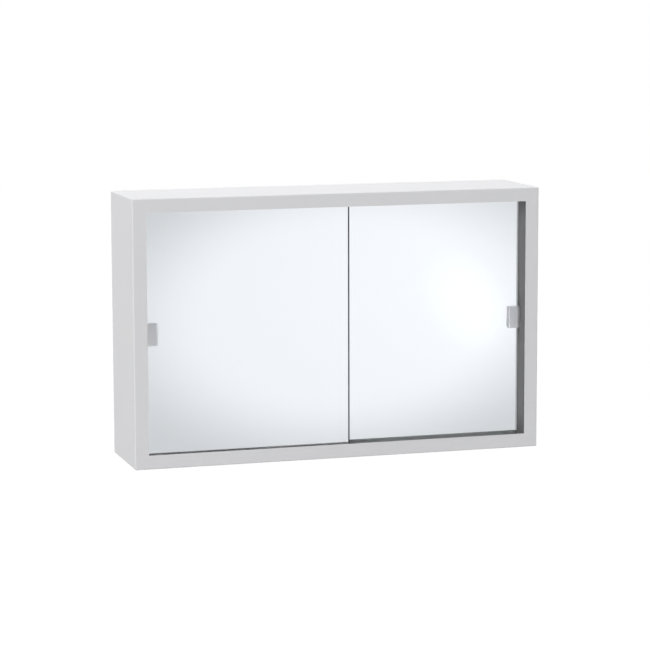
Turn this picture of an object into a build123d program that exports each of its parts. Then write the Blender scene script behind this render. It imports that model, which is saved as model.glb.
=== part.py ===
from build123d import *
import os

# Hanging wall cabinet of folded sheet steel with two sliding mirror doors.
# Frame: origin at the centre of the back face, on the wall, +Z up, +X to the right seen from the front.
# The front faces -Y. All sizes are in millimetres.
# Each door is drawn a little short of closed, the right one more so.

# Steel body
cabinet_width = 600.0
cabinet_height = 380.0
cabinet_depth = 140.0
sheet = 1.0  # thickness of the folded strips
front_flange = 20.0  # plain frame round the doors
rear_flange = 15.0  # inward return that carries the back
bend_radius = 2.0  # outside radius of the folds and of the ground corners
back_sheet = 1.0  # thickness of the back
back_inset = 3.0  # edge of the back, in from the outer faces

# Wall fixings
keyhole_head_radius = 6.0  # lets a screw head in
keyhole_shank_radius = 2.75
keyhole_rise = 12.0  # from the head's centre up to the shank's seat
screw_hole_radius = 3.0
fixing_inset_x = 100.0  # from the outer faces to the fixings
fixing_inset_z = 55.0
hanger_width = 44.0
hanger_height = 50.0
hanger_plate = 1.5  # thickness
hanger_corner = 4.0

# Mirror doors
glass = 4.0
glass_arris = 0.2  # fine bevel on the edges
film_gap = 0.05  # adhesive between glass and film
film = 0.25
film_margin = 0.3  # film's edge, in from the glass edge
door_cover = 2.0  # stops stand this far behind the flange's inner edge
door_overlap = 24.6  # of the two doors when both are closed
stop_gap = 0.3  # between a door and its stop
left_door_ajar = 2.7  # how far the left door stands open
right_door_ajar = 8.3

# Tracks
track_setback = 1.9  # from the flange's back to the track
track_wall = 1.5
track_base = 2.0
track_tape = 0.8
tape_margin = 1.0  # tape's edge, in from the track's edge
bottom_wall_height = 8.0
top_wall_reveal = 1.2  # top track's walls end this far above the flange's inner edge
track_end_gap = 0.5
channel_clearance = 0.3  # beside the glides
lift_margin = 1.3  # spare height for lifting a door out
stop_fit = 0.1  # beside the rubber stops

# Glides
glide_wall = 0.65
glide_fit = 0.05  # beside the glass and film
glide_floor = 1.5
glide_float = 0.3  # under the glide
glide_length = 30.0
glide_inset = 12.0  # from the glass end
glide_cover = 1.0  # channel wall stands this far above the glide

# Pulls
pull_height = 31.8
pull_on_glass = 14.5  # front leaf, in from the glass edge
pull_nose = 5.2  # beyond the glass edge
pull_front_leaf = 1.8
pull_pass_gap = 0.3  # between the two pulls as the doors pass
pull_back_reach = 10.0  # back leaf, in from the glass edge
pull_fit = 0.1  # to the glass edge and the film
pull_corner = 2.0
pull_nose_radius = 2.4
pull_ridge = 0.4  # flat top of the ridge that a finger pushes against
pull_ramp = 1.6  # from the ridge down to the finger rest
pull_rest_depth = 1.0  # finger rest, below the ridge
pull_tape = 0.4
pull_tape_margin = 1.0
left_pull_level = -0.6  # middle of the pull, above the middle of the cabinet
right_pull_level = 0.1

# Shelf and its standards
shelf_sheet = 0.8
shelf_lip = 15.0  # turned down along the front and the back
shelf_bend = 1.6  # outside radius of the shelf's folds
shelf_end_gap = 2.0
shelf_front_gap = 46.6  # behind the track, room for tall bottles in front of the shelf
shelf_back_gap = 6.0
standard_width = 14.0
standard_depth = 5.0
standard_sheet = 1.0
standard_end_gap = 5.0  # beyond the flange's inner edge
front_setback = 24.0  # from the shelf's front edge to the front standard's middle
rear_setback = 8.0
slot_width = 7.0
slot_height = 3.0
slot_pitch = 22.0
shelf_slot = 5  # counted from the lowest slot, which is 0
clip_thickness = 2.4
clip_side_gap = 0.3  # beside the clip in its slot
clip_ledge = 10.0
clip_hook = 1.5  # thickness of the hook behind the slot
clip_hook_drop = 3.0
clip_hook_gap = 0.2

# Places worked out from the sizes above
half_width = cabinet_width / 2
half_height = cabinet_height / 2
front = -cabinet_depth
inner_x = half_width - sheet
inner_z = half_height - sheet
opening_x = half_width - front_flange
opening_z = half_height - front_flange
fixing_x = half_width - fixing_inset_x
fixing_z = half_height - fixing_inset_z

# Depth of the tracks and doors
door_thickness = glass + film_gap + film
channel = door_thickness + 2 * (glide_fit + glide_wall + channel_clearance)
channel_pitch = channel + track_wall
track_depth = 2 * channel + 3 * track_wall
track_front = front + sheet + track_setback
track_back = track_front + track_depth
front_channel = track_front + track_wall
front_glass = front_channel + channel_clearance + glide_wall + glide_fit
rear_glass = front_glass + channel_pitch
pull_back_leaf = channel_pitch - door_thickness - pull_fit - pull_tape - pull_front_leaf - pull_pass_gap

# Height of the tracks and doors
channel_floor = -inner_z + track_tape + track_base
channel_roof = inner_z - track_tape - track_base
bottom_wall_top = channel_floor + bottom_wall_height
top_wall_end = opening_z + top_wall_reveal
glide_bottom = channel_floor + glide_float
glide_top = bottom_wall_top - glide_cover
glass_bottom = glide_bottom + glide_floor
glass_top = channel_roof - (bottom_wall_height - glide_float + lift_margin)

# Width of the tracks and doors
track_half = inner_x - track_end_gap
stop_x = opening_x + door_cover
closed_edge = stop_x - stop_gap
door_width = closed_edge + door_overlap / 2
left_door_start = -closed_edge + left_door_ajar
right_door_start = closed_edge - right_door_ajar - door_width

# Shelf
shelf_half = inner_x - standard_depth - shelf_end_gap
shelf_front = track_back + shelf_front_gap
shelf_back = -back_sheet - shelf_back_gap
standard_length = 2 * (opening_z - standard_end_gap)
slot_count = int(standard_length / slot_pitch)
slot_bottom = (shelf_slot - (slot_count - 1) / 2) * slot_pitch - slot_height / 2
shelf_bottom = slot_bottom + clip_thickness
shelf_top = shelf_bottom + shelf_sheet
lip_end = shelf_top - shelf_lip
standard_rows = {"front": shelf_front + front_setback, "rear": shelf_back - rear_setback}

os.makedirs("parts", exist_ok=True)


def save(piece, label):
    """Names a finished piece and writes it."""
    piece.part.label = label
    export_step(piece.part, f"parts/{label}.step")


def box_between(corner_a, corner_b, mode=Mode.ADD):
    """Adds a box to the open part, or cuts it out, given two opposite corners."""
    middle = [(a + b) / 2 for a, b in zip(corner_a, corner_b)]
    size = [abs(a - b) for a, b in zip(corner_a, corner_b)]
    with Locations(Vector(*middle)):
        Box(*size, mode=mode)


# Folded shell: a rounded box, hollowed to the sheet's thickness, with a front and a rear window
with BuildPart() as hollow:
    box_between((-inner_x, front + sheet, -inner_z), (inner_x, -back_sheet - sheet, inner_z))
    fillet(hollow.edges(), radius=bend_radius - sheet)

with BuildPart() as shell:
    box_between((-half_width, front, -half_height), (half_width, -back_sheet, half_height))
    fillet(shell.edges(), radius=bend_radius)
    add(hollow.part, mode=Mode.SUBTRACT)
    for window_face, flange in ((front, front_flange), (-back_sheet, rear_flange)):
        window_x = half_width - flange
        window_z = half_height - flange
        box_between(
            (-window_x, window_face - bend_radius, -window_z),
            (window_x, window_face + bend_radius, window_z),
            mode=Mode.SUBTRACT,
        )

# The shell is welded from four strips, mitred at 45 degrees.
# Each strip is given by its middle on the outer face, the way inwards, the way along it and its length.
strips = {
    "left_side": (Vector(-half_width, 0, 0), Vector(1, 0, 0), Vector(0, 0, 1), cabinet_height),
    "right_side": (Vector(half_width, 0, 0), Vector(-1, 0, 0), Vector(0, 0, 1), cabinet_height),
    "top_panel": (Vector(0, 0, half_height), Vector(0, 0, -1), Vector(1, 0, 0), cabinet_width),
    "bottom_panel": (Vector(0, 0, -half_height), Vector(0, 0, 1), Vector(1, 0, 0), cabinet_width),
}
for label, (middle, inward, along, run) in strips.items():
    with BuildPart() as strip:
        add(shell.part)
        for end in (-1, 1):
            mitre = Plane(middle + along * (end * run / 2), z_dir=inward + along * end)
            split(bisect_by=mitre, keep=Keep.BOTTOM)
    save(strip, label)

# Keyhole: a screw head goes in at the middle and the shank slides up to its seat
with BuildSketch() as keyhole:
    Circle(keyhole_head_radius)
    with Locations((0, keyhole_rise / 2)):
        SlotCenterToCenter(keyhole_rise, 2 * keyhole_shank_radius, rotation=90)

# Back sheet behind the rear flanges, with the keyholes above and plain screw holes below
with BuildPart() as back_panel:
    with BuildSketch(Plane.XZ):
        Rectangle(cabinet_width - 2 * back_inset, cabinet_height - 2 * back_inset)
        with Locations((-fixing_x, fixing_z), (fixing_x, fixing_z)):
            add(keyhole.sketch, mode=Mode.SUBTRACT)
        with Locations((-fixing_x, -fixing_z), (fixing_x, -fixing_z)):
            Circle(screw_hole_radius, mode=Mode.SUBTRACT)
    extrude(amount=back_sheet)
save(back_panel, "back_panel")

# Thicker plates welded inside the back, round the keyholes
for side, place in (("left", -fixing_x), ("right", fixing_x)):
    with BuildPart() as hanger:
        with BuildSketch(Plane.XZ.offset(back_sheet)):
            with Locations((place, fixing_z + keyhole_rise / 2)):
                RectangleRounded(hanger_width, hanger_height, hanger_corner)
            with Locations((place, fixing_z)):
                add(keyhole.sketch, mode=Mode.SUBTRACT)
        extrude(amount=hanger_plate)
    save(hanger, f"{side}_hanger_plate")

# Double tracks: a base on tape, with three walls that make a front and a rear channel.
# Each track is given by its tape's face on the steel, its base's two faces and the free end of its walls.
tracks = {
    "bottom": (-inner_z, -inner_z + track_tape, channel_floor, bottom_wall_top),
    "top": (inner_z, inner_z - track_tape, channel_roof, top_wall_end),
}
for name, (steel_face, tape_face, channel_face, wall_end) in tracks.items():
    with BuildPart() as track:
        box_between((-track_half, track_front, tape_face), (track_half, track_back, channel_face))
        for index in range(3):
            wall_front = track_front + index * channel_pitch
            box_between(
                (-track_half, wall_front, channel_face),
                (track_half, wall_front + track_wall, wall_end),
            )
    save(track, f"{name}_track")

    with BuildPart() as tape:
        box_between(
            (-track_half + tape_margin, track_front + tape_margin, steel_face),
            (track_half - tape_margin, track_back - tape_margin, tape_face),
        )
    save(tape, f"{name}_track_tape")

    with BuildPart() as stops:
        for index in range(2):
            stop_front = front_channel + index * channel_pitch + stop_fit
            stop_back = stop_front + channel - 2 * stop_fit
            for side in (-1, 1):
                box_between(
                    (side * stop_x, stop_front, channel_face),
                    (side * track_half, stop_back, wall_end),
                )
    save(stops, f"{name}_track_stops")

# Mirror doors: each is given by its left edge, its glass face, the side that its pull is on and its level
doors = {
    "left": (left_door_start, front_glass, -1, left_pull_level),
    "right": (right_door_start, rear_glass, 1, right_pull_level),
}
for name, (start, face, outward, pull_level) in doors.items():
    end = start + door_width
    pull_edge = start if outward < 0 else end
    film_face = face + glass + film_gap
    door_back = face + door_thickness

    with BuildPart() as pane:
        box_between((start, face, glass_bottom), (end, face + glass, glass_top))
        chamfer(pane.edges(), length=glass_arris)
    save(pane, f"{name}_mirror_glass")

    with BuildPart() as backing:
        box_between(
            (start + film_margin, film_face, glass_bottom + film_margin),
            (end - film_margin, film_face + film, glass_top - film_margin),
        )
    save(backing, f"{name}_mirror_film")

    with BuildPart() as glides:
        slot_front = face - glide_fit
        slot_back = door_back + glide_fit
        for place in (start + glide_inset, end - glide_inset - glide_length):
            box_between(
                (place, slot_front - glide_wall, glide_bottom),
                (place + glide_length, slot_back + glide_wall, glide_top),
            )
            box_between(
                (place, slot_front, glass_bottom),
                (place + glide_length, slot_back, glide_top),
                mode=Mode.SUBTRACT,
            )
    save(glides, f"{name}_door_glides")

    # Finger pull: a U that clips over the glass edge, with a ramp up to a ridge at its inner end.
    # It is drawn from the glass edge, with x outwards and y towards the back.
    pull_plane = Plane((pull_edge, face, pull_level), x_dir=(outward, 0, 0), z_dir=(0, 0, outward))
    pull_face = -pull_tape - pull_front_leaf
    rest_face = pull_face + pull_rest_depth
    ridge_end = pull_ridge - pull_on_glass
    leaf_back = door_thickness + pull_fit
    pull_back = leaf_back + pull_back_leaf
    pull_width = pull_on_glass + pull_nose
    pull_middle = pull_edge + outward * (pull_nose - pull_on_glass) / 2
    with BuildPart() as pull:
        with BuildSketch(pull_plane) as clip:
            with BuildLine():
                Polyline(
                    (-pull_on_glass, pull_face),
                    (ridge_end, pull_face),
                    (ridge_end + pull_ramp, rest_face),
                    (pull_nose, rest_face),
                    (pull_nose, pull_back),
                    (-pull_back_reach, pull_back),
                    (-pull_back_reach, leaf_back),
                    (pull_fit, leaf_back),
                    (pull_fit, -pull_tape),
                    (-pull_on_glass, -pull_tape),
                    close=True,
                )
            make_face()
            fillet(clip.vertices().group_by(Axis.X)[-1], radius=pull_nose_radius)
        extrude(amount=pull_height / 2, both=True)
        with BuildSketch(Plane((pull_middle, face, pull_level), x_dir=(1, 0, 0), z_dir=(0, 1, 0))):
            RectangleRounded(pull_width, pull_height, pull_corner)
        extrude(amount=pull_width, both=True, mode=Mode.INTERSECT)
    save(pull, f"{name}_pull")

    with BuildPart() as pad:
        pad_half = pull_height / 2 - pull_tape_margin
        box_between(
            (pull_edge - outward * pull_tape_margin, face - pull_tape, pull_level - pad_half),
            (pull_edge - outward * (pull_on_glass - pull_tape_margin), face, pull_level + pad_half),
        )
    save(pad, f"{name}_pull_tape")

# Slotted shelf standards: channels welded to the sides with their slotted face inwards
for name, side in (("left", -1), ("right", 1)):
    for row, middle in standard_rows.items():
        with BuildPart() as standard:
            with BuildSketch(Plane((side * inner_x, middle, 0), x_dir=(-side, 0, 0), z_dir=(0, 0, -side))):
                Rectangle(standard_depth, standard_width, align=(Align.MIN, Align.CENTER))
                Rectangle(
                    standard_depth - standard_sheet,
                    standard_width - 2 * standard_sheet,
                    align=(Align.MIN, Align.CENTER),
                    mode=Mode.SUBTRACT,
                )
            extrude(amount=standard_length / 2, both=True)
            slotted_face = side * (inner_x - standard_depth)
            with BuildSketch(Plane((slotted_face, middle, 0), x_dir=(0, 1, 0), z_dir=(side, 0, 0))):
                with GridLocations(slot_width, slot_pitch, 1, slot_count):
                    Rectangle(slot_width, slot_height)
            extrude(amount=standard_sheet, mode=Mode.SUBTRACT)
        save(standard, f"{name}_{row}_standard")

# Shelf clips: a ledge with a tongue through the slot and a hook behind it
with BuildPart() as clips:
    clip_half = slot_width / 2 - clip_side_gap
    hook_face = inner_x - standard_depth + standard_sheet + clip_hook_gap
    for side in (-1, 1):
        for middle in standard_rows.values():
            box_between(
                (side * (inner_x - standard_depth - clip_ledge), middle - clip_half, slot_bottom),
                (side * (hook_face + clip_hook), middle + clip_half, shelf_bottom),
            )
            box_between(
                (side * hook_face, middle - clip_half, slot_bottom - clip_hook_drop),
                (side * (hook_face + clip_hook), middle + clip_half, slot_bottom),
            )
save(clips, "shelf_clips")

# Loose shelf of folded sheet steel on its clips
with BuildPart() as shelf:
    with BuildSketch(Plane.YZ):
        with BuildLine():
            FilletPolyline(
                (shelf_front, lip_end),
                (shelf_front, shelf_top),
                (shelf_back, shelf_top),
                (shelf_back, lip_end),
                radius=shelf_bend,
            )
            offset(amount=shelf_sheet, side=Side.RIGHT)
        make_face()
    extrude(amount=shelf_half, both=True)
save(shelf, "shelf")
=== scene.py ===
import math

import bpy
import numpy as np
from mathutils import Matrix, Vector


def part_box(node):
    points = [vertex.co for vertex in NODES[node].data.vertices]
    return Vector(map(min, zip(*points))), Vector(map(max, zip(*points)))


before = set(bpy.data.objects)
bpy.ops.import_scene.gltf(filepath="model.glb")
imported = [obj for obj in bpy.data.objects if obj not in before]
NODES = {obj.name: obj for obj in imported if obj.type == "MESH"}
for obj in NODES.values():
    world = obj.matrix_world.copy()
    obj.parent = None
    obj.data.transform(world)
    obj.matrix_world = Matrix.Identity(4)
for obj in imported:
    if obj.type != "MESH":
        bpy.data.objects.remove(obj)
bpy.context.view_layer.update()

# Looks of a white steel wall cabinet with two sliding mirror doors. Lengths are in metres.
MM = 0.001

# Finishes
EDGE_SHADE_LAP = 0.5 * MM  # how far the painted edge shade laps on to the faces of a pane
SILVER_FACE = 0.02 * MM  # front of the film, which shows as silver
MOTTLE_MM = 90  # patches of slightly different white in the powder coat
PEEL_MM = 5  # orange peel as drawn
PEEL_DEPTH = 0.03 * MM
PAINT_GRAIN_MM = 3  # backing paint of the mirrors
ADHESIVE_MM = 4  # uneven patches in the clear adhesive

# Camera, fitted to the corners of the cabinet in the photograph
CAMERA_AZIMUTH = -16.86  # degrees, to the left of the front
CAMERA_ELEVATION = 8.08
CAMERA_ROLL = -0.161
CAMERA_DISTANCE = 3.7416
AIM_RIGHT = 0.0192  # from the middle of the back to the point in the middle of the picture
AIM_DOWN = 0.0169
AIM_BACK = 0.002
LENS_MM = 140.85

# Stage
FLOOR_LEVEL = -1.6
FLOOR_SIZE = 40.0
FLOOR_COLOUR = "#A8A8A8"
WALL_Y = -5.0  # pale wall in front of the cabinet, which only the mirrors show
WALL_HALF_WIDTH = 7.0
WALL_TOP = 4.0
STUDIO_WHITE = "#FBFCFF"  # slightly blue light of what the mirrors show
WALL_GLOW = 0.69
PANEL_GLOW = 0.292  # bright soft panel on that wall, added to the wall's own light
PANEL_CENTRE = (1.521, -0.682)  # across and up
PANEL_HALF = (0.964, 0.583)
PANEL_CORE = 0.498  # share of the panel that is evenly bright
SIDE_GLOW = 0.138  # fainter and wider light to the right of it
SIDE_CENTRE = (2.703, -0.571)
SIDE_HALF = (1.929, 0.818)
SPOT_GLOW = 0.061  # small brighter spot between them
SPOT_CENTRE = (1.985, -0.675)
SPOT_HALF = (0.25, 0.16)
SPOT_CORE = 0.3
SPOT_TILT = 51.0  # degrees that its long axis falls to the right
FLOOR_IN_MIRRORS = 0.61  # floor as the mirrors show it, a little darker than the wall
AMBIENT = 0.03
OVERHEAD_WATTS = 36
LEFT_WATTS = 31
FRONT_WATTS = 274
RIGHT_WATTS = 14
REAR_WATTS = 16


def linear(code):
    """An sRGB hex colour as linear red, green, blue and alpha."""
    srgb = np.array([int(code[i : i + 2], 16) for i in (1, 3, 5)]) / 255
    rgb = np.where(srgb <= 0.04045, srgb / 12.92, ((srgb + 0.055) / 1.055) ** 2.4)
    return (*rgb.tolist(), 1.0)


def add_node(tree, kind, values=None, links=None, **settings):
    """Adds a node with its settings, and its socket values and links by socket name or index."""
    made = tree.nodes.new(kind)
    for name, value in settings.items():
        setattr(made, name, value)
    for socket, value in (values or {}).items():
        made.inputs[socket].default_value = value
    for socket, source in (links or {}).items():
        tree.links.new(source, made.inputs[socket])
    return made


def empty_material(name):
    """A material with no nodes yet, and its tree."""
    material = bpy.data.materials.new(name)
    material.use_nodes = True
    material.node_tree.nodes.clear()
    return material, material.node_tree


def new_material(name, values):
    """A material with one Principled shader, and that shader with its tree, for the patterns."""
    material, tree = empty_material(name)
    shader = add_node(tree, "ShaderNodeBsdfPrincipled", values)
    add_node(tree, "ShaderNodeOutputMaterial", links={"Surface": shader.outputs["BSDF"]})
    return material, tree, shader


def waves_per_metre(millimetres):
    """Noise scale that gives features about this size."""
    return 1 / (millimetres * MM)


def white_powder_coat():
    """Polyester powder coat, sprayed and baked: satin white with a slight orange peel.

    Orange peel is about 2 mm across. It is drawn at 5 mm, so that it shows at all at this distance.
    """
    material, tree, shader = new_material("white_powder_coat", {"IOR": 1.5})
    place = add_node(tree, "ShaderNodeTexCoord").outputs["Object"]
    mottle = add_node(
        tree,
        "ShaderNodeTexNoise",
        {"Scale": waves_per_metre(MOTTLE_MM), "Detail": 2.0},
        {"Vector": place},
    )
    colour = add_node(
        tree,
        "ShaderNodeMix",
        {"A": linear("#E6E6E8"), "B": linear("#EAEAEC")},
        {"Factor": mottle.outputs["Fac"]},
        data_type="RGBA",
    )
    peel = add_node(
        tree,
        "ShaderNodeTexNoise",
        {"Scale": waves_per_metre(PEEL_MM), "Detail": 1.0, "Roughness": 0.4},
        {"Vector": place},
    )
    gloss = add_node(
        tree,
        "ShaderNodeMapRange",
        {"To Min": 0.36, "To Max": 0.46},
        {"Value": peel.outputs["Fac"]},
    )
    bump = add_node(
        tree,
        "ShaderNodeBump",
        {"Strength": 0.25, "Distance": PEEL_DEPTH},
        {"Height": peel.outputs["Fac"]},
    )
    tree.links.new(colour.outputs["Result"], shader.inputs["Base Color"])
    tree.links.new(gloss.outputs["Result"], shader.inputs["Roughness"])
    tree.links.new(bump.outputs["Normal"], shader.inputs["Normal"])
    return material


def painted_edge_shade(tree, node, outward):
    """1 on the three ground edges of a pane, which get painted shade, and where that shade laps on to
    its faces, and 0 elsewhere.

    The shaded part lies beyond the pane's middle by half its size less the lap, away from the pull
    along X and both ways along Z.
    """
    low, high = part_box(node)
    middle = (low + high) / 2
    reach = (high - low) / 2 - Vector((1, 1, 1)) * EDGE_SHADE_LAP
    place = add_node(tree, "ShaderNodeTexCoord").outputs["Object"]
    centred = add_node(tree, "ShaderNodeMapping", {"Location": tuple(-middle)}, {"Vector": place})
    parts = add_node(tree, "ShaderNodeSeparateXYZ", links={"Vector": centred.outputs["Vector"]})
    inwards = add_node(
        tree, "ShaderNodeMath", {1: -outward}, {0: parts.outputs["X"]}, operation="MULTIPLY"
    )
    height = add_node(tree, "ShaderNodeMath", links={0: parts.outputs["Z"]}, operation="ABSOLUTE")
    end = add_node(
        tree, "ShaderNodeMath", {1: reach.x}, {0: inwards.outputs["Value"]}, operation="GREATER_THAN"
    )
    rims = add_node(
        tree, "ShaderNodeMath", {1: reach.z}, {0: height.outputs["Value"]}, operation="GREATER_THAN"
    )
    either = add_node(
        tree,
        "ShaderNodeMath",
        links={0: end.outputs["Value"], 1: rims.outputs["Value"]},
        operation="MAXIMUM",
    )
    return either.outputs["Value"]


def mirror_glass(name, node, outward):
    """Clear float glass, polished on its faces and on the edge under the pull.

    The other three edges are ground. Their dark grey is painted shade: the shade that falls in them,
    laid on as a colour.
    """
    material, tree, shader = new_material(name, {"IOR": 1.52})
    edge_shade_mask = painted_edge_shade(tree, node, outward)
    # painted shade: the ground edges are coloured dark grey and made opaque to stand in for the shade
    # in them
    colour = add_node(
        tree,
        "ShaderNodeMix",
        {"A": linear("#FDFEFE"), "B": linear("#2E3032")},
        {"Factor": edge_shade_mask},
        data_type="RGBA",
    )
    clear = add_node(tree, "ShaderNodeMapRange", {"To Min": 1.0, "To Max": 0.0}, {"Value": edge_shade_mask})
    rough = add_node(tree, "ShaderNodeMapRange", {"To Min": 0.0, "To Max": 0.6}, {"Value": edge_shade_mask})
    tree.links.new(colour.outputs["Result"], shader.inputs["Base Color"])
    tree.links.new(clear.outputs["Result"], shader.inputs["Transmission Weight"])
    tree.links.new(rough.outputs["Result"], shader.inputs["Roughness"])
    return material


def silver_and_film(name, node):
    """Chemically deposited silver on its front face, and the grey backing paint and film behind it."""
    low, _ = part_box(node)
    material, tree, shader = new_material(name, {})
    place = add_node(tree, "ShaderNodeTexCoord").outputs["Object"]
    parts = add_node(tree, "ShaderNodeSeparateXYZ", links={"Vector": place})
    behind = add_node(
        tree,
        "ShaderNodeMath",
        {1: low.y + SILVER_FACE},
        {0: parts.outputs["Y"]},
        operation="GREATER_THAN",
    ).outputs["Value"]
    weave = add_node(
        tree,
        "ShaderNodeTexNoise",
        {"Scale": waves_per_metre(PAINT_GRAIN_MM), "Detail": 2.0},
        {"Vector": place},
    )
    paint = add_node(
        tree,
        "ShaderNodeMix",
        {"A": linear("#8B9096"), "B": linear("#9AA0A6")},
        {"Factor": weave.outputs["Fac"]},
        data_type="RGBA",
    )
    colour = add_node(
        tree,
        "ShaderNodeMix",
        {"A": linear("#FAFBFC")},
        {"Factor": behind, "B": paint.outputs["Result"]},
        data_type="RGBA",
    )
    metal = add_node(tree, "ShaderNodeMapRange", {"To Min": 1.0, "To Max": 0.0}, {"Value": behind})
    rough = add_node(tree, "ShaderNodeMapRange", {"To Min": 0.0, "To Max": 0.5}, {"Value": behind})
    tree.links.new(colour.outputs["Result"], shader.inputs["Base Color"])
    tree.links.new(metal.outputs["Result"], shader.inputs["Metallic"])
    tree.links.new(rough.outputs["Result"], shader.inputs["Roughness"])
    return material


def grained(name, dark, light, grain_mm, roughness, bump_mm=0.0, stretch=(1, 1, 1), values=None):
    """A moulded, extruded or plated surface: two near colours mixed by noise, with a little bump.

    stretch scales the noise along each axis, so a small number draws it out into lines that way.
    """
    material, tree, shader = new_material(name, {"Roughness": roughness, **(values or {})})
    place = add_node(tree, "ShaderNodeTexCoord").outputs["Object"]
    drawn = add_node(tree, "ShaderNodeMapping", {"Scale": stretch}, {"Vector": place})
    grain = add_node(
        tree,
        "ShaderNodeTexNoise",
        {"Scale": waves_per_metre(grain_mm), "Detail": 2.0},
        {"Vector": drawn.outputs["Vector"]},
    )
    colour = add_node(
        tree,
        "ShaderNodeMix",
        {"A": linear(dark), "B": linear(light)},
        {"Factor": grain.outputs["Fac"]},
        data_type="RGBA",
    )
    tree.links.new(colour.outputs["Result"], shader.inputs["Base Color"])
    if bump_mm:
        bump = add_node(
            tree,
            "ShaderNodeBump",
            {"Strength": 0.4, "Distance": bump_mm * MM},
            {"Height": grain.outputs["Fac"]},
        )
        tree.links.new(bump.outputs["Normal"], shader.inputs["Normal"])
    return material


def clear_adhesive():
    """Clear acrylic adhesive film, which wets both faces: nearly invisible, faintly uneven grey."""
    material, tree = empty_material("clear_adhesive")
    place = add_node(tree, "ShaderNodeTexCoord").outputs["Object"]
    uneven = add_node(
        tree,
        "ShaderNodeTexNoise",
        {"Scale": waves_per_metre(ADHESIVE_MM), "Detail": 2.0},
        {"Vector": place},
    )
    tint = add_node(
        tree,
        "ShaderNodeMix",
        {"A": linear("#FAFAFA"), "B": linear("#FEFEFE")},
        {"Factor": uneven.outputs["Fac"]},
        data_type="RGBA",
    )
    clear = add_node(tree, "ShaderNodeBsdfTransparent", links={"Color": tint.outputs["Result"]})
    add_node(tree, "ShaderNodeOutputMaterial", links={"Surface": clear.outputs["BSDF"]})
    return material


def dress(material, *names):
    """Gives CAD nodes this material in place of their plain one."""
    for name in names:
        mesh = NODES[name].data
        mesh.materials.clear()
        mesh.materials.append(material)


def dress_cabinet():
    """Every finish, on the nodes that have it."""
    dress(
        white_powder_coat(),
        "left_side",
        "right_side",
        "top_panel",
        "bottom_panel",
        "back_panel",
        "left_hanger_plate",
        "right_hanger_plate",
        "left_front_standard",
        "left_rear_standard",
        "right_front_standard",
        "right_rear_standard",
        "shelf",
    )
    # Extruded PVC: faint draw lines along the track
    pvc = grained(
        "extruded_pvc",
        "#C6C6C3",
        "#CFCFCC",
        grain_mm=2,
        roughness=0.42,
        bump_mm=0.02,
        stretch=(0.02, 1, 1),
    )
    dress(pvc, "top_track", "bottom_track")
    # Acrylic foam tape: open, matt cut edge
    foam = grained("foam_tape", "#B9B9B5", "#CDCDC9", grain_mm=0.8, roughness=0.9, bump_mm=0.05)
    dress(foam, "top_track_tape", "bottom_track_tape")
    # Moulded rubber: near black and matt
    rubber = grained("moulded_rubber", "#262626", "#303030", grain_mm=1.2, roughness=0.75, bump_mm=0.03)
    dress(rubber, "top_track_stops", "bottom_track_stops")
    # Zinc plate: pale metal with soft blotches
    zinc = grained(
        "zinc_plate", "#A9ACAF", "#C3C6C8", grain_mm=4, roughness=0.34, values={"Metallic": 1.0}
    )
    dress(zinc, "shelf_clips")
    # Moulded nylon: milky white that lets a little light in
    nylon = grained(
        "moulded_nylon",
        "#D9D7CE",
        "#E2E0D8",
        grain_mm=2,
        roughness=0.45,
        values={
            "Subsurface Weight": 0.2,
            "Subsurface Radius": (0.002, 0.002, 0.0015),
            "Subsurface Scale": 1.0,
        },
    )
    dress(nylon, "left_door_glides", "right_door_glides")
    # Moulded translucent plastic with a frosted skin: pale over the mirror, darker beyond the door.
    # The spark-eroded grain is finer than 0.1 mm and is drawn coarser so that it shows.
    frosted = grained(
        "frosted_plastic",
        "#FBFBFC",
        "#FDFDFE",
        grain_mm=0.8,
        roughness=0.28,
        bump_mm=0.02,
        values={"Transmission Weight": 0.85, "IOR": 1.49},
    )
    dress(frosted, "left_pull", "right_pull")
    dress(clear_adhesive(), "left_pull_tape", "right_pull_tape")
    for side, outward in (("left", -1), ("right", 1)):
        pane = f"{side}_mirror_glass"
        dress(mirror_glass(f"{side}_float_glass", pane, outward), pane)
        film = f"{side}_mirror_film"
        dress(silver_and_film(f"{side}_silvering", film), film)


def place_camera():
    """Puts the camera where the photograph was taken from."""
    azimuth = math.radians(CAMERA_AZIMUTH)
    elevation = math.radians(CAMERA_ELEVATION)
    roll = math.radians(CAMERA_ROLL)
    back = Vector(
        (
            math.sin(azimuth) * math.cos(elevation),
            -math.cos(azimuth) * math.cos(elevation),
            math.sin(elevation),
        )
    )
    level = Vector((math.cos(azimuth), math.sin(azimuth), 0))
    upright = back.cross(level)
    right = level * math.cos(roll) + upright * math.sin(roll)
    up = upright * math.cos(roll) - level * math.sin(roll)
    aim = right * AIM_RIGHT - up * AIM_DOWN + Vector((0, AIM_BACK, 0))
    data = bpy.data.cameras.new("photo_camera")
    data.lens = LENS_MM
    camera = bpy.data.objects.new("photo_camera", data)
    turn = Matrix((right, up, back)).transposed().to_4x4()
    camera.matrix_world = Matrix.Translation(aim + back * CAMERA_DISTANCE) @ turn
    bpy.context.scene.collection.objects.link(camera)
    bpy.context.scene.camera = camera


def stage_plane(name, corners, material):
    """A flat four-cornered stage surface."""
    mesh = bpy.data.meshes.new(name)
    mesh.from_pydata(corners, [], [(0, 1, 2, 3)])
    mesh.materials.append(material)
    plane = bpy.data.objects.new(name, mesh)
    bpy.context.scene.collection.objects.link(plane)


def any_ray(tree, *kinds):
    """1 for rays of any of these kinds, and 0 for the rest."""
    path = add_node(tree, "ShaderNodeLightPath")
    found = path.outputs[kinds[0]]
    for kind in kinds[1:]:
        found = add_node(
            tree, "ShaderNodeMath", links={0: found, 1: path.outputs[kind]}, operation="MAXIMUM"
        ).outputs["Value"]
    return found


def seen_directly(tree):
    """1 for what the camera, mirrors and glass show, and 0 for light that falls on the object."""
    return any_ray(tree, "Is Camera Ray", "Is Glossy Ray", "Is Transmission Ray")


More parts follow.
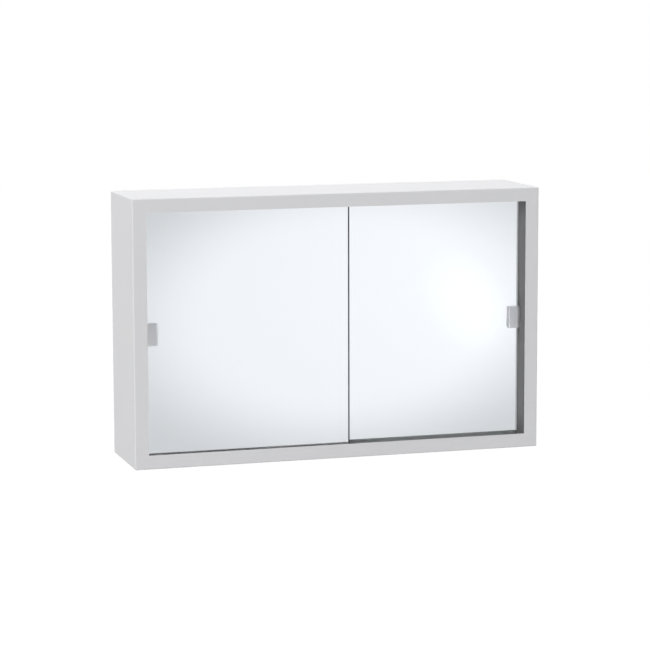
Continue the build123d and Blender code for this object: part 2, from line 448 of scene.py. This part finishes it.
def pale_floor():
    """A pale floor that shows white and keeps shadows. In the mirrors it has an even tone."""
    material, tree = empty_material("pale_floor")
    matt = add_node(tree, "ShaderNodeBsdfDiffuse", {"Color": linear(FLOOR_COLOUR)})
    white = add_node(
        tree, "ShaderNodeEmission", {"Color": linear("#FFFFFF")}, {"Strength": seen_directly(tree)}
    )
    shadowed = add_node(
        tree, "ShaderNodeAddShader", links={0: matt.outputs["BSDF"], 1: white.outputs["Emission"]}
    )
    even = add_node(
        tree,
        "ShaderNodeEmission",
        {"Color": linear(STUDIO_WHITE), "Strength": FLOOR_IN_MIRRORS},
    )
    surface = add_node(
        tree,
        "ShaderNodeMixShader",
        links={
            0: any_ray(tree, "Is Transmission Ray"),
            1: shadowed.outputs["Shader"],
            2: even.outputs["Emission"],
        },
    )
    add_node(tree, "ShaderNodeOutputMaterial", links={"Surface": surface.outputs["Shader"]})
    half = FLOOR_SIZE / 2
    corners = [(-half, -half), (half, -half), (half, half), (-half, half)]
    stage_plane("floor", [(x, y, FLOOR_LEVEL) for x, y in corners], material)


def soft_ellipse(tree, centre, half, core, tilt):
    """1 out to the core of an ellipse on the mirror wall, and then smoothly down to 0 at its rim."""
    place = add_node(tree, "ShaderNodeTexCoord").outputs["Object"]
    across, up = centre
    half_across, half_up = half
    scaled = add_node(
        tree,
        "ShaderNodeMapping",
        {
            "Location": (across, WALL_Y, up),
            "Rotation": (0, math.radians(tilt), 0),
            "Scale": (half_across, 1.0, half_up),
        },
        {"Vector": place},
        vector_type="TEXTURE",
    )
    radius = add_node(
        tree, "ShaderNodeVectorMath", links={0: scaled.outputs["Vector"]}, operation="LENGTH"
    )
    fade = add_node(
        tree,
        "ShaderNodeMapRange",
        {"From Min": core, "From Max": 1.0, "To Min": 1.0, "To Max": 0.0},
        {"Value": radius.outputs["Value"]},
        interpolation_type="SMOOTHSTEP",
    )
    return fade.outputs["Result"]


def mirror_wall():
    """A pale wall with soft bright panels on it, which the mirrors show and nothing else sees."""
    material, tree = empty_material("mirror_wall")
    addend = {}  # the first patch adds to the wall's own light, and each later one to the sum so far
    for strength, centre, half, core, tilt in (
        (PANEL_GLOW, PANEL_CENTRE, PANEL_HALF, PANEL_CORE, 0.0),
        (SIDE_GLOW, SIDE_CENTRE, SIDE_HALF, 0.0, 0.0),
        (SPOT_GLOW, SPOT_CENTRE, SPOT_HALF, SPOT_CORE, SPOT_TILT),
    ):
        shape = soft_ellipse(tree, centre, half, core, tilt)
        brightness = add_node(
            tree,
            "ShaderNodeMath",
            {1: strength, 2: WALL_GLOW},
            {0: shape, **addend},
            operation="MULTIPLY_ADD",
        ).outputs["Value"]
        addend = {2: brightness}
    glow = add_node(
        tree,
        "ShaderNodeEmission",
        {"Color": linear(STUDIO_WHITE)},
        {"Strength": brightness},
    )
    clear = add_node(tree, "ShaderNodeBsdfTransparent")
    surface = add_node(
        tree,
        "ShaderNodeMixShader",
        links={
            0: any_ray(tree, "Is Glossy Ray", "Is Transmission Ray"),
            1: clear.outputs["BSDF"],
            2: glow.outputs["Emission"],
        },
    )
    add_node(tree, "ShaderNodeOutputMaterial", links={"Surface": surface.outputs["Shader"]})
    corners = [
        (-WALL_HALF_WIDTH, WALL_Y, FLOOR_LEVEL),
        (WALL_HALF_WIDTH, WALL_Y, FLOOR_LEVEL),
        (WALL_HALF_WIDTH, WALL_Y, WALL_TOP),
        (-WALL_HALF_WIDTH, WALL_Y, WALL_TOP),
    ]
    stage_plane("mirror_wall", corners, material)


def softbox(name, place, aim, size, watts):
    """A rectangular studio lamp of a width and height at a place, turned to a point."""
    data = bpy.data.lights.new(name, "AREA")
    data.shape = "RECTANGLE"
    data.size, data.size_y = size
    data.energy = watts
    lamp = bpy.data.objects.new(name, data)
    facing = (Vector(aim) - Vector(place)).to_track_quat("-Z", "Y")
    lamp.matrix_world = Matrix.Translation(place) @ facing.to_matrix().to_4x4()
    lamp.visible_glossy = False  # the mirrors show none of the lamps
    bpy.context.scene.collection.objects.link(lamp)


def light_stage():
    """Softboxes above, at both sides, behind and in front, with a little even light from all round."""
    world = bpy.data.worlds.new("studio")
    bpy.context.scene.world = world
    world.use_nodes = True
    tree = world.node_tree
    tree.nodes.clear()
    even = add_node(tree, "ShaderNodeBackground", {"Color": linear("#FFFFFF"), "Strength": AMBIENT})
    white = add_node(tree, "ShaderNodeBackground", {"Color": linear("#FFFFFF"), "Strength": 1.0})
    seen = add_node(
        tree,
        "ShaderNodeMixShader",
        links={
            0: seen_directly(tree),
            1: even.outputs["Background"],
            2: white.outputs["Background"],
        },
    )
    add_node(tree, "ShaderNodeOutputWorld", links={"Surface": seen.outputs["Shader"]})
    middle = (0, -0.07, 0)  # of the cabinet
    side_size = (1.6, 1.6)
    softbox("overhead_softbox", (-0.1, 0.1, 2.2), middle, (2.4, 1.6), OVERHEAD_WATTS)
    softbox("left_softbox", (-2.8, 0.3, 0.6), middle, side_size, LEFT_WATTS)
    softbox("front_strip", (-2.06, -6.12, 1.0), (0, -0.07, 1.0), (0.6, 5.0), FRONT_WATTS)
    softbox("right_softbox", (2.7, -0.5, 0.6), middle, side_size, RIGHT_WATTS)
    softbox("rear_softbox", (0.8, 2.8, 1.4), middle, side_size, REAR_WATTS)


dress_cabinet()
place_camera()
pale_floor()
mirror_wall()
light_stage()
bpy.context.scene.view_settings.view_transform = "Standard"
